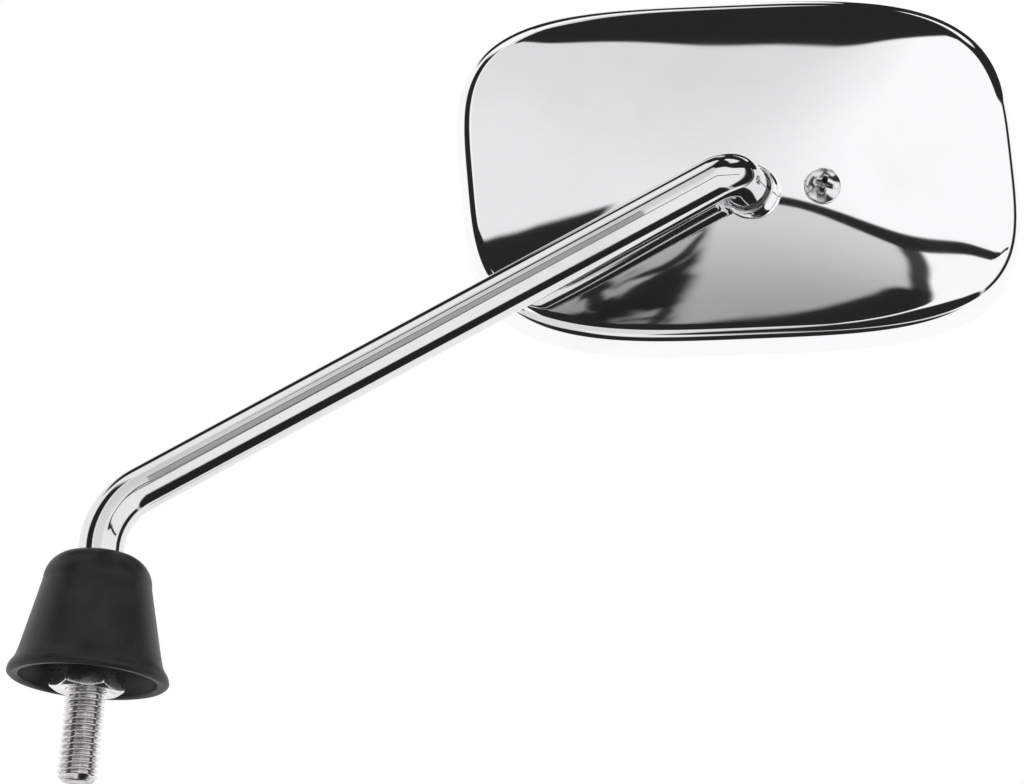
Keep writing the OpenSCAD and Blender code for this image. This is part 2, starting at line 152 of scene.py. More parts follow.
def rotateAbout(axis, angle):
    # Rotation matrix about a unit axis, by Rodrigues' formula
    x, y, z = axis
    k = np.array([[0, -z, y], [z, 0, -x], [-y, x, 0]])
    return np.eye(3) + math.sin(angle) * k + (1 - math.cos(angle)) * k @ k


def stemStations(form):
    # Stations along the centre line: place, direction, sideways direction and radius.
    # Straights step along the direction; bends turn place and directions about the bend's axis.
    r = math.radians
    place, along, side = np.array([0.0, 0, 0]), np.array([0.0, 0, 1]), np.array([1.0, 0, 0])
    lowerTangent = form["lowerRadius"] * math.tan(r(form["lowerTurn"]) / 2)
    upperTangent = form["upperRadius"] * math.tan(r(form["upperTurn"]) / 2)
    armRadius, studRadius = form["armDiameter"] / 2, form["studDiameter"] / 2
    stations = []

    def straight(start, levels, radii):
        for level, radius in zip(levels, radii):
            stations.append((start + level * along, along, side, radius))

    def bend(start, centreDir, radius, turn, steps):
        nonlocal along, side
        axis = np.cross(along, centreDir)
        centre = start + radius * centreDir
        first = (along, side)
        for k in range(1, steps + 1):
            m = rotateAbout(axis, turn * k / steps)
            stations.append((centre + m @ (start - centre), m @ first[0], m @ first[1], armRadius))
        along, side = m @ first[0], m @ first[1]
        return centre + m @ (start - centre)

    step = form["pitch"] / form["stepsPerPitch"]
    thread = np.arange(form["studBottom"], form["threadTop"] + step, step)
    straight(place, thread, np.full(len(thread), studRadius))
    shankFoot = form["threadTop"] + armRadius * 2 - studRadius * 2
    shankTop = form["lowerCorner"] - lowerTangent
    shank = np.linspace(shankFoot, shankTop, 14)
    straight(place, shank, np.full(len(shank), armRadius))
    corner = bend(np.array([0, 0, shankTop]), side, form["lowerRadius"], r(form["lowerTurn"]),
                  form["lowerSteps"])
    armReach = form["armLength"] - lowerTangent - upperTangent
    arm = np.linspace(0, armReach, form["armSteps"])[1:]
    straight(corner, arm, np.full(len(arm), armRadius))
    across = np.cross(along, side)
    towards = side * math.cos(r(form["upperTwist"])) + across * math.sin(r(form["upperTwist"]))
    stubFoot = bend(corner + armReach * along, towards, form["upperRadius"], r(form["upperTurn"]),
                    form["upperSteps"])
    ballLevel = form["stubLength"] + form["neckReach"]
    ballRadius, neckRadius = form["ballDiameter"] / 2, form["neckDiameter"] / 2
    neckMeet = math.sqrt(ballRadius ** 2 - neckRadius ** 2)
    stub = roundedPath(
        [(0, armRadius), (form["stubLength"], armRadius), (form["stubLength"], neckRadius),
         (ballLevel - neckMeet, neckRadius)], [form["shoulderRound"], form["neckRound"]], 7)
    straight(stubFoot, stub[1:, 0], stub[1:, 1])
    neckAngle = math.asin(neckRadius / ballRadius)
    for a in np.linspace(math.pi - neckAngle, 0.03, form["ballSteps"]):
        straight(stubFoot, [ballLevel + ballRadius * math.cos(a)], [ballRadius * math.sin(a)])
    return stations, stubFoot + (ballLevel + ballRadius) * along


def buildStem(form):
    # Radius of the thread at a turn and height: crest minus a rounded V whose phase follows the helix
    stations, tip = stemStations(form)
    place, along, side = (np.array([s[k] for s in stations]) for k in range(3))
    radius = np.array([s[3] for s in stations])
    turn = np.arange(form["columns"]) * fullTurn / form["columns"]
    radii = np.repeat(radius[:, None], form["columns"], 1)
    z = place[:, 2:3]
    onStud = (z < form["threadTop"] + 0.01) & (radius[:, None] < form["armDiameter"] / 2 - 0.1)
    phase = (z / form["pitch"] - turn[None] / fullTurn) % 1
    fromCrest = np.abs(phase - 0.5) * 2
    groove = smoothStep((fromCrest - form["crestShare"]) / form["flankShare"])
    fade = smoothStep((form["threadTop"] - z) / form["threadFade"])
    fade = fade * smoothStep((z - form["studBottom"] - form["footPlain"]) / form["footFade"])
    threaded = form["studDiameter"] / 2 - form["crestDrop"] - form["threadDepth"] * groove * fade
    tipCone = form["studDiameter"] / 2 - form["tipChamfer"] + (z - form["studBottom"])
    threaded = np.minimum(threaded, tipCone)
    radii = np.where(onStud, threaded, radii)
    other = np.cross(along, side)
    cosine, sine = np.cos(turn)[None, :, None], np.sin(turn)[None, :, None]
    around = cosine * side[:, None] + sine * other[:, None]
    grid = place[:, None] + radii[..., None] * around
    return meshFromGrid("stem_turned", grid, firstPole=place[0], lastPole=tip, sharpAngle=50)


stem = buildStem(stemForm)
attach(stem, "stem")
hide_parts("stem")
print("stem made")


# Jam nut

nutForm = {
    "flats": 13, "height": 6.5, "bore": 8.1, "boreFlare": 0.35, "cornerRound": 70, "chamfer": 0.2,
    "soften": 0.06, "columns": 192,
}


def buildNut(form):
    # Radius round the side: the hexagon's flat distance over the largest of six cosines, softened by a
    # high power, and held inside a chamfer cone at both faces
    apothem, height = form["flats"] / 2, form["height"]
    turn = np.arange(form["columns"]) * fullTurn / form["columns"]
    sides = np.maximum(np.cos(turn[:, None] - np.arange(6) * fullTurn / 6 - math.pi / 2), 1e-6)
    power = form["cornerRound"]
    hexagon = apothem / (sides ** power).sum(1) ** (1 / power)
    cornerRadius = apothem / math.cos(math.pi / 6)
    drop = (cornerRadius - apothem + form["chamfer"]) * math.tan(math.pi / 6)
    levels = np.concatenate([np.linspace(0, drop, 9), np.linspace(drop, height - drop, 9)[1:-1],
                             np.linspace(height - drop, height, 9)])
    cone = apothem - form["chamfer"] + np.minimum(levels, height - levels) / math.tan(math.pi / 6)
    side = np.minimum(hexagon[None], cone[:, None])
    gap = np.abs(hexagon[None] - cone[:, None])
    side = side - np.maximum(form["soften"] - gap, 0) ** 2 / (4 * form["soften"])
    bore, flare = form["bore"] / 2, form["boreFlare"]
    faceOut = np.linspace(bore + flare, apothem - form["chamfer"] - 0.05, 5)
    rows = [(bore, flare), (bore + flare, 0)] + [(r, 0) for r in faceOut[1:]]

    def ring(radii, level):
        return np.stack([radii * np.cos(turn), radii * np.sin(turn), np.full_like(turn, level)], -1)

    lower = [ring(r, z) for r, z in rows]
    middle = [ring(radii, z) for radii, z in zip(side, levels)]
    upper = [ring(r, height - z) for r, z in reversed(rows)]
    grid = np.array(lower + middle + upper)
    return meshFromGrid("jam_nut_machined", grid, closedRows=True, sharpAngle=28)


nut = buildNut(nutForm)
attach(nut, "nut")
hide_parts("jam_nut")
print("jam nut made")


# Rubber boot

bootForm = {
    "base": 2, "height": 25.6, "lip": 32, "body": 27.6, "shoulder": 21.5, "neck": 9.1, "wall": 2.4,
    "roof": 3.2, "lipBand": 3, "flareTop": 6, "sideFoot": 8.4, "sideIn": 0.45, "columns": 180,
}


def curveThrough(points, samples):
    # Catmull-Rom curve: each span is the cubic through its two points with slopes from their neighbours
    p = np.asarray(points, float)
    p = np.vstack([2 * p[0] - p[1], p, 2 * p[-1] - p[-2]])
    t = np.linspace(0, 1, samples, endpoint=False)[:, None]
    spans = []
    for a, b, c, d in zip(p[:-3], p[1:-2], p[2:-1], p[3:]):
        spans.append(0.5 * (2 * b + (c - a) * t + (2 * a - 5 * b + 4 * c - d) * t ** 2
                            + (3 * b - a - 3 * c + d) * t ** 3))
    return np.vstack(spans + [p[-2:-1]])


def buildBoot(form):
    # Outer profile: rounded lip, flare, straight tapered side and quarter round shoulder. Inner profile:
    # a curve one wall further in.
    lip, body, shoulder, neck = (form[k] / 2 for k in ("lip", "body", "shoulder", "neck"))
    height, wall, sideFoot = form["height"], form["wall"], form["sideFoot"]
    sideRadius = body - form["sideIn"]
    crownRadius = shoulder - neck - 0.2
    crownLevel = height - crownRadius
    lipTop = (lip - 0.95, form["lipBand"] - 0.1)
    lipPath = roundedPath([(lip - wall + 0.2, 0.25), (lip - 0.75, 0), (lip, 0.65), (lip - 0.2, 1.9), lipTop],
                          [0.3, 0.4, 0.9], 6)
    flarePoints = [lipTop, (body + 0.7, 4.0), (body + 0.12, form["flareTop"]), (sideRadius, sideFoot)]
    flare = curveThrough(flarePoints, 7)[1:]
    side = np.linspace((sideRadius, sideFoot), (shoulder, crownLevel), 14)[1:]
    a = np.linspace(0, math.pi / 2, 22)[1:]
    crown = (shoulder - crownRadius, crownLevel) + crownRadius * np.stack([np.cos(a), np.sin(a)], -1)
    roof = height - form["roof"]
    neckPath = roundedPath([(neck + 0.2, height), (neck, height), (neck, roof), (neck + 0.2, roof)],
                           [0.12, 0.12], 4)
    insidePoints = [(neck + 0.2, roof), (shoulder - wall - 0.6, roof - 3), (body - wall, form["flareTop"]),
                    (lip - wall - 0.3, 1.5), (lip - wall + 0.1, 0.3)]
    inside = curveThrough(insidePoints, 10)[1:]
    profile = np.vstack([lipPath, flare, side, crown, neckPath[1:], inside[:-1]])
    profile[:, 1] += form["base"]
    grid = lathe(profile, form["columns"], np.zeros(3), np.array([0, 0, 1.0]), np.array([1.0, 0, 0]))
    return meshFromGrid("boot_rubber", grid, closedRows=True, sharpAngle=60)


boot = buildBoot(bootForm)
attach(boot, "boot")
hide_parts("boot")
print("boot made")


# Head: chromed shell with its slanted mouth

shellForm = {
    "width": 114, "height": 73, "cornerPower": 3.5, "lean": 0.052,
    "sideDepth": 8.8, "sideDraft": 3.3, "edgeRadius": 4, "domeRise": 6, "ellipseInset": 4, "wall": 2.2,
    "rimWall": 1.6, "ledgeDepth": 4.6, "ledgeWidth": 1.3, "rimRound": 0.35,
    "ballAcross": -4.6, "ballUp": -8, "ballDepth": 11.8,
    "mouthBore": 9.2, "mouthWall": 0.6, "mouthReach": 8.3, "mouthFillet": 0.6,
    "screwAcross": -17.0, "screwUp": -7, "recessDepth": 0.9, "recessRadius": 3.75,
    "innerEdge": 1.6, "bossRadius": 8.3, "bossDepth": 9.3, "socketRadius": 6.35,
    "recessSoft": 0.12, "drawShare": 0.22, "drawReach": 1.6,
    "columns": 420, "domeRows": 96, "edgeSteps": 14, "skinRows": 16, "rayPower": 1.35,
}
headMiddle = ballAt - (shellForm["ballAcross"] * headAcross + shellForm["ballUp"] * headUp
                       - shellForm["ballDepth"] * glassDir)
headTurn = np.array([headAcross, headUp, glassDir])


def toHead(p):
    # Model place to head place: across, up and forward of the rim's middle
    return (p - headMiddle) @ headTurn.T


def fromHead(p):
    # The way back: middle + across * x + up * y + forward * z
    return headMiddle + np.asarray(p) @ headTurn


def headRow(p, depth):
    # A ring of points in the head, all at one depth behind the rim or each at its own
    return np.column_stack([p, np.zeros(len(p)) - depth])


def outlineAt(form, angle):
    # Leaning superellipse by direction, radius = (|cos/a|^p + |sin/b|^p)^(-1/p), and its outward unit normal
    a, b, p = form["width"] / 2, form["height"] / 2, form["cornerPower"]
    c, s = np.cos(angle), np.sin(angle)
    radius = (np.abs(c / a) ** p + np.abs(s / b) ** p) ** (-1 / p)
    x, y = radius * c, radius * s
    gx = np.sign(x) * np.abs(x / a) ** (p - 1) / a
    gy = np.sign(y) * np.abs(y / b) ** (p - 1) / b
    point = np.stack([x + form["lean"] * y, y], -1)
    return point, unit(np.stack([gx, gy - form["lean"] * gx], -1))


def insetPoint(form, angle, inset):
    # Outline moved inwards: point - inset * normal
    point, normal = outlineAt(form, angle)
    return point - np.asarray(inset)[..., None] * normal


def edgeSlope(form, angle, inset, radius):
    # Slope of the dome where it leaves the edge radius: atan(2 * rise / distance along the normal). It is
    # found in a few rounds, because the rise is counted from where the edge radius ends.
    slope = np.full(np.shape(angle), 0.3)
    for _ in range(6):
        lap = inset + radius - radius * np.sin(slope)
        point, normal = insetPoint(form, angle, lap), outlineAt(form, angle)[1]
        rise = form["domeRise"] + radius * (1 - np.cos(slope))
        slope = np.arctan(2 * rise / (point * normal).sum(-1))
    return slope


def domeEdge(form, angle, inset, radius):
    # Outline where dome and edge radius meet, and its depth behind the rim
    slope = edgeSlope(form, angle, inset, radius)
    lap = inset + radius - radius * np.sin(slope)
    return insetPoint(form, angle, lap), form["sideDepth"] + radius * np.cos(slope), slope


def domeTable(form, inset, radius):
    # The dome's edge by direction from the middle, for looking up in domeDepth
    angle = np.linspace(-math.pi, math.pi, 4321)
    edge, level, _ = domeEdge(form, angle, inset, radius)
    bearing = np.unwrap(np.arctan2(edge[:, 1], edge[:, 0]))
    top = form["sideDepth"] + form["edgeRadius"] + form["domeRise"]
    return {"angle": angle, "edge": edge, "level": level, "bearing": bearing, "top": top,
            "reach": np.linalg.norm(edge, axis=1)}


def domeDepth(form, table, x, y, thinner=0.0):
    # Depth behind the rim: top - (top - level) * q, where q is the squared share of the way to the edge.
    # Near the middle q turns into an ellipse's, so the dome has one smooth curvature there.
    bearing = np.arctan2(y, x)
    reach = np.interp(bearing, table["bearing"], table["reach"], period=fullTurn)
    level = np.interp(bearing, table["bearing"], table["level"], period=fullTurn)
    share = np.hypot(x, y) / reach
    a, b = form["width"] / 2 - form["ellipseInset"], form["height"] / 2 - form["ellipseInset"]
    xs = x - form["lean"] * y
    ellipse = (xs / a) ** 2 + (y / b) ** 2
    blend = smoothStep(share)
    q = (1 - blend) * ellipse + blend * share ** 2
    top = table["top"] - thinner
    return top - (top - level) * q


def buildShell(form):
    # Rings of points in the order of a closed section: up the mouth's bore, down its outside, over the dome
    # and round the edge, along the side wall to the rim, and back along the inner skin
    sideInset = form["sideDepth"] * math.tan(math.radians(form["sideDraft"]))
    table = domeTable(form, sideInset, form["edgeRadius"])
    columns = form["columns"]
    turn = np.arange(columns) * fullTurn / columns
    back = -stubDir
    first = unit(headUp - (headUp @ back) * back)
    second = np.cross(back, first)
    around = np.cos(turn)[:, None] * first + np.sin(turn)[:, None] * second

    def rootOf(radius):
        # Height along the mouth's axis at which a cylinder round it meets the dome, by bisection
        low, high = np.full(columns, -2.0), np.full(columns, 12.0)
        for _ in range(40):
            mid = (low + high) / 2
            p = toHead(ballAt + radius * around + mid[:, None] * back)
            outside = -p[:, 2] > domeDepth(form, table, p[:, 0], p[:, 1])
            low, high = np.where(outside, low, mid), np.where(outside, mid, high)
        return mid

    bore, outer = form["mouthBore"] / 2, form["mouthBore"] / 2 + form["mouthWall"]
    fillet, reach = form["mouthFillet"], form["mouthReach"]

    def mouthRing(radius, height):
        return toHead(ballAt + radius * around + np.asarray(height).reshape(-1, 1) * back)

    rows = []
    # mouth: up the bore, over its rounded lip and down the outside
    lip = roundedPath([(bore, reach - 4), (bore, reach), (outer, reach), (outer, reach - 1)], [0.3, 0.3], 6)
    for radius, height in [(bore, 4.0), *lip[1:-1]]:
        rows.append(mouthRing(radius, np.full(columns, height)))
    root = rootOf(outer)
    wallFoot = np.minimum(root + fillet, reach - 0.45)
    startHeight = np.full(columns, lip[-2][1])
    for t in (0.25, 0.5, 0.75, 1.0):
        rows.append(mouthRing(outer, startHeight + (wallFoot - startHeight) * t))
    # fillet from the mouth's wall into the dome
    footPoint, rootPoint = rows[-1], mouthRing(outer, root)
    onDome = mouthRing(outer + fillet, rootOf(outer + fillet))
    for t in np.linspace(0, 1, 8)[1:]:
        rows.append((1 - t) ** 2 * footPoint + 2 * t * (1 - t) * rootPoint + t ** 2 * onDome)
    # dome: rays from the mouth to the edge, drawn closer together at the screw's recess
    middle = onDome[:, :2].mean(0)
    ray = onDome[:, :2] - middle
    bearing = np.arctan2(ray[:, 1], ray[:, 0])
    edgeRay = table["edge"] - middle
    edgeBearing = np.unwrap(np.arctan2(edgeRay[:, 1], edgeRay[:, 0]))
    cosines = np.interp(bearing, edgeBearing, np.cos(table["angle"]), period=fullTurn)
    sines = np.interp(bearing, edgeBearing, np.sin(table["angle"]), period=fullTurn)
    angle = np.arctan2(sines, cosines)
    edge, _, slope = domeEdge(form, angle, sideInset, form["edgeRadius"])
    screw = np.array([form["screwAcross"], form["screwUp"]])
    seatDepth = table["top"] - form["recessDepth"]
    soft, drawShare = form["recessSoft"], form["drawShare"]
    for t in (np.arange(1, form["domeRows"]) / form["domeRows"]) ** form["rayPower"]:
        p = onDome[:, :2] + (edge - onDome[:, :2]) * t
        away = p - screw
        distance = np.linalg.norm(away, axis=1) + 1e-9
        gap = distance - form["recessRadius"]
        closer = drawShare + (1 - drawShare) * smoothStep(np.abs(gap) / form["drawReach"])
        drawn = form["recessRadius"] + gap * closer
        p = screw + away * (drawn / distance)[:, None]
        depth = domeDepth(form, table, p[:, 0], p[:, 1])
        inRecess = smoothStep((form["recessRadius"] + soft - drawn) / (2 * soft))
        depth = depth - inRecess * np.maximum(depth - seatDepth, 0)
        rows.append(headRow(p, depth))
    # edge radius, side wall and rim
    radius, steps = form["edgeRadius"], form["edgeSteps"]
    for k in range(steps + 1):
        a = (math.pi / 2 - slope) * (1 - k / steps)
        p = insetPoint(form, angle, sideInset + radius - radius * np.cos(a))
        rows.append(headRow(p, form["sideDepth"] + radius * np.sin(a)))
    inner = form["rimWall"] + form["ledgeWidth"]
    rim = roundedPath(
        [(sideInset, form["sideDepth"]), (0.02, 0), (form["rimWall"], 0),
         (form["rimWall"], form["ledgeDepth"]), (inner, form["ledgeDepth"]), (inner, form["sideDepth"])],
        [form["rimRound"], form["rimRound"], 0.2, 0.2], 6)
    wallSteps = np.linspace(0, 1, 5)[1:, None] * (rim[1] - rim[0]) + rim[0]
    for inset, depth in [*wallSteps, *rim[2:]]:
        rows.append(headRow(insetPoint(form, angle, inset), depth))
    # inner skin, closed round the ball's socket
    innerTable = domeTable(form, inner, form["innerEdge"])
    innerEdge = domeEdge(form, angle, inner, form["innerEdge"])[0]
    ball = np.array([form["ballAcross"], form["ballUp"]])
    boss = ball + form["bossRadius"] * unit(innerEdge - middle)
    for t in np.linspace(0, 1, form["skinRows"]):
        p = innerEdge + (boss - innerEdge) * t
        depth = domeDepth(form, innerTable, p[:, 0], p[:, 1], form["wall"])
        rows.append(headRow(p, depth))
    socket = ball + form["socketRadius"] * unit(innerEdge - middle)
    for p, depth in ((boss, form["bossDepth"]), (socket, form["bossDepth"]), (socket, form["ballDepth"])):
        rows.append(headRow(p, depth))
    grid = fromHead(np.array(rows))
    return meshFromGrid("shell_chromed", grid, closedRows=True, sharpAngle=38)


shell = buildShell(shellForm)
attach(shell, "head")
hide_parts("shell")
print("shell made")


# Clamp screw

screwForm = {
    "headDiameter": 7, "headHeight": 2.4, "edgeShare": 0.4,
    "slotLength": 4.3, "slotWidth": 1.05, "slotDepth": 1.5, "slotFlare": 1.15, "slotTaper": 0.35,
    "slotSoft": 0.16, "fineReach": 2.6,
    "shank": 4, "shankLength": 14.2, "turn": 20, "columns": 192,
}


def buildScrew(form):
    # Pan head as a turned profile whose crown is a sphere, pressed in by a cross: the press is
    # slot depth * (1 - reach^1.6), where reach is the share of the way from the middle to the slot's end
    radius, height = form["headDiameter"] / 2, form["headHeight"]
    edge = height * form["edgeShare"]
    rise = height - edge
    crown = (radius ** 2 + rise ** 2) / (2 * rise)
    crownRadii = np.concatenate([np.linspace(0.06, form["fineReach"], 44),
                                 np.linspace(form["fineReach"], radius - 0.18, 12)[1:]])
    profile = [(r, height - crown + math.sqrt(crown ** 2 - r ** 2)) for r in crownRadii]
    profile += [tuple(p) for p in roundedPath(
        [profile[-1], (radius, edge + 0.02), (radius, 0), (form["shank"] / 2, 0)], [0.35, 0.12], 6)[1:]]
    profile += [(form["shank"] / 2, -form["shankLength"] * t) for t in (0.3, 0.6, 1.0)]
    turned = math.radians(form["turn"])
    sideways = headAcross * math.cos(turned) + headUp * math.sin(turned)
    grid = lathe(profile, form["columns"], screwSeat, -glassDir, sideways)
    local = grid - screwSeat
    other = np.cross(-glassDir, sideways)
    u, v, up = local @ sideways, local @ other, local @ -glassDir
    press = np.zeros(u.shape)
    for across, along in ((u, v), (v, u)):
        reach = np.abs(along) / (form["slotLength"] / 2)
        half = form["slotWidth"] / 2 * (form["slotFlare"] - form["slotTaper"] * reach)
        wide = smoothStep((half - np.abs(across)) / form["slotSoft"] + 0.5)
        deep = form["slotDepth"] * np.clip(1 - reach ** 1.6, 0, 1) * smoothStep((1 - reach) / 0.12)
        press = np.maximum(press, wide * deep)
    press *= up > edge
    grid = grid + press[..., None] * glassDir
    hollow = np.append(press.ravel() / form["slotDepth"], [1, 0])
    top = screwSeat - glassDir * (height - form["slotDepth"])
    end = screwSeat + glassDir * form["shankLength"]
    piece = meshFromGrid("clamp_screw_cross", grid, firstPole=top, lastPole=end, sharpAngle=42)
    marks = piece.data.attributes.new("hollow", "FLOAT", "POINT")
    marks.data.foreach_set("value", hollow.astype(np.float32))
    return piece


screw = buildScrew(screwForm)
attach(screw, "screw")
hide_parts("clamp_screw")
print("clamp screw made")


# Glass and its rubber channel

glassForm = {
    "thickness": 2, "radius": 1200, "recess": 0.55, "inset": 2.5, "columns": 240,
    "channelOut": 1.65, "channelWall": 0.8, "channelLip": 1.6, "channelColumns": 360,
}


def glassFall(form, reach):
    # How far a sphere falls away at a distance from its top: radius - sqrt(radius^2 - reach^2)
    return form["radius"] - np.sqrt(form["radius"] ** 2 - reach ** 2)


def buildGlass(form, shellSizes):
    # Sheet between two equal spheres, as rings: the outline times a share, out over the front, round the
    # edge and back in over the rear
    angle = np.arange(form["columns"]) * fullTurn / form["columns"]
    edge = insetPoint(shellSizes, angle, form["inset"])
    rows = []
    shares = np.concatenate([np.linspace(0.05, 0.98, 30), [0.99]])
    for t in shares:
        rows.append(headRow(edge * t, form["recess"] + glassFall(form, np.linalg.norm(edge * t, axis=1))))
    fall = glassFall(form, np.linalg.norm(edge, axis=1))
    edgeCurve = ((0.12, 0.02), (0.03, 0.1), (0, 0.25), (0, 1.0), (0, 1.75), (0.03, 1.9), (0.12, 1.98))
    for inset, drop in edgeCurve:
        p = insetPoint(shellSizes, angle, form["inset"] + inset)
        rows.append(headRow(p, form["recess"] + fall + drop))
    rear = form["recess"] + form["thickness"]
    for t in shares[::-1]:
        rows.append(headRow(edge * t, rear + glassFall(form, np.linalg.norm(edge * t, axis=1))))
    front, back = fromHead([0, 0, -form["recess"]]), fromHead([0, 0, -rear])
    grid = fromHead(np.array(rows))
    return meshFromGrid("glass_convex", grid, firstPole=front, lastPole=back, sharpAngle=50)


def buildChannel(form, shellSizes, ledgeDepth):
    # Rounded C section carried round the outline, following the fall of the glass
    angle = np.arange(form["channelColumns"]) * fullTurn / form["channelColumns"]
    out, wall = form["channelOut"], form["channelOut"] + form["channelWall"]
    tip = wall + form["channelLip"]
    gap, back = 0.05, form["thickness"] + 0.05
    corners = [(out, -1.2), (out, 0.55), (out + 0.35, 0.85), (tip, 0.42), (tip, gap), (wall, gap),
               (wall, -back), (tip, -back), (tip, -back - 0.5), (out + 1.2, -back - 1.0), (out, -back - 0.9),
               (out, -1.2)]
    section = roundedPath(corners, [0.3, 0.3, 0.25, 0.1, 0.05, 0.05, 0.1, 0.2, 0.3, 0.2], 4)[1:-1]
    rows = []
    for inset, lift in section:
        p = insetPoint(shellSizes, angle, inset)
        depth = form["recess"] + glassFall(form, np.linalg.norm(p, axis=1)) - lift
        rows.append(headRow(p, np.minimum(depth, ledgeDepth - 0.04)))
    return meshFromGrid("channel_rubber", fromHead(np.array(rows)), closedRows=True, sharpAngle=55)


glass = buildGlass(glassForm, shellForm)
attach(glass, "head")
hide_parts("glass")
channel = buildChannel(glassForm, shellForm, shellForm["ledgeDepth"])
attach(channel, "head")
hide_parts("glass_channel")
print("glass and channel made")


# Shader maths

class Wire:
    # A node socket with arithmetic: each operator adds one Math node to the same material
    def __init__(self, tree, socket):
        self.tree, self.socket = tree, socket

    def math(self, operation, first, second=None):
        values = {0: first} if second is None else {0: first, 1: second}
        return addNode(self.tree, "ShaderNodeMath", {"operation": operation}, values)

    def __add__(self, other):
        return self.math("ADD", self, other)

    def __radd__(self, other):
        return self.math("ADD", other, self)

    def __sub__(self, other):
        return self.math("SUBTRACT", self, other)

    def __rsub__(self, other):
        return self.math("SUBTRACT", other, self)

    def __mul__(self, other):
        return self.math("MULTIPLY", self, other)

    def __rmul__(self, other):
        return self.math("MULTIPLY", other, self)

    def __pow__(self, other):
        return self.math("POWER", self, other)


def addNode(tree, kind, settings=None, values=None, output=0):
    # One node: its settings first, then the values or links of its sockets
    node = tree.nodes.new(kind)
    for key, value in (settings or {}).items():
        setattr(node, key, value)
    for key, value in (values or {}).items():
        if isinstance(value, Wire):
            tree.links.new(value.socket, node.inputs[key])
        else:
            node.inputs[key].default_value = value
    return Wire(tree, node.outputs[output])


def ramp(tree, factor, low, high):
    # 0 below low, 1 above high, smooth between
    return addNode(tree, "ShaderNodeMapRange", {"interpolation_type": "SMOOTHSTEP"},
                   {"Value": factor, "From Min": low, "From Max": high, "To Min": 0.0, "To Max": 1.0})


def noise(tree, place, scale, detail=3.0, roughness=0.5, distortion=0.0):
    return addNode(tree, "ShaderNodeTexNoise", {}, {"Vector": place, "Scale": scale, "Detail": detail,
                                                    "Roughness": roughness, "Distortion": distortion})


def mixColour(tree, factor, first, second):
    return addNode(tree, "ShaderNodeMix", {"data_type": "RGBA"}, {0: factor, 6: first, 7: second}, output=2)


def stretch(tree, place, scale):
    return addNode(tree, "ShaderNodeVectorMath", {"operation": "MULTIPLY"}, {0: place, 1: scale})


def newFinish(name):
    # Returns the material, its tree, the object-space place and its Principled shader
    material = bpy.data.materials.new(name)
    material.use_nodes = True
    tree = material.node_tree
    shader = tree.nodes["Principled BSDF"]
    place = addNode(tree, "ShaderNodeTexCoord", output=3)
    return material, tree, place, shader


def plug(tree, shader, **sockets):
    # Links wires to the shader's sockets and sets plain values on it directly
    names = {"colour": "Base Color", "rough": "Roughness", "metal": "Metallic", "coat": "Coat Weight",
             "coatRough": "Coat Roughness", "normal": "Normal", "specular": "Specular IOR Level"}
    for key, value in sockets.items():
        if isinstance(value, Wire):
            tree.links.new(value.socket, shader.inputs[names[key]])
        else:
            shader.inputs[names[key]].default_value = value


def bump(tree, height, strength, distance):
    return addNode(tree, "ShaderNodeBump", {},
                   {"Height": height, "Strength": strength, "Distance": distance})


def grey(level, tint=(1, 1, 1)):
    return (level * tint[0], level * tint[1], level * tint[2], 1)


# Finishes

chromeLook = {"bright": 0.95, "dull": 0.88, "rough": 0.035, "hazeRough": 0.075, "waveDistance": 0.00006}


def shellChromeFinish(look):
    # Plated plastic: full mirror, faint waves of the moulding, a little haze, fine pits and scratches
    material, tree, place, shader = newFinish("shell_chrome")
    haze = ramp(tree, noise(tree, place, 38.0, 4.0, 0.6), 0.45, 0.75)
    pits = ramp(tree, noise(tree, place, 900.0, 2.0, 0.5), 0.72, 0.80)
    streaks = noise(tree, stretch(tree, place, (40.0, 900.0, 2200.0)), 1.0, 2.0, 0.4, 0.4)
    scratches = ramp(tree, streaks, 0.66, 0.74)
    wear = haze * 0.6 + pits * 0.5 + scratches * 0.25
    plug(tree, shader, metal=1.0,
         colour=mixColour(tree, wear, grey(look["bright"], (0.995, 1.0, 1.01)), grey(look["dull"])),
         rough=look["rough"] + wear * (look["hazeRough"] - look["rough"]),
         normal=bump(tree, noise(tree, place, 26.0, 1.0, 0.4), 0.35, look["waveDistance"]))
    return material


# The stud's dark brownish grey is painted shade for the thread roots, mixed with a little grime
rodLook = {
    "bright": 0.80, "dull": 0.70, "rough": 0.045, "hazeRough": 0.10,
    "studBright": 0.80, "studRootShadeAndGrime": 0.22, "studRough": 0.07, "grimeRough": 0.18,
}


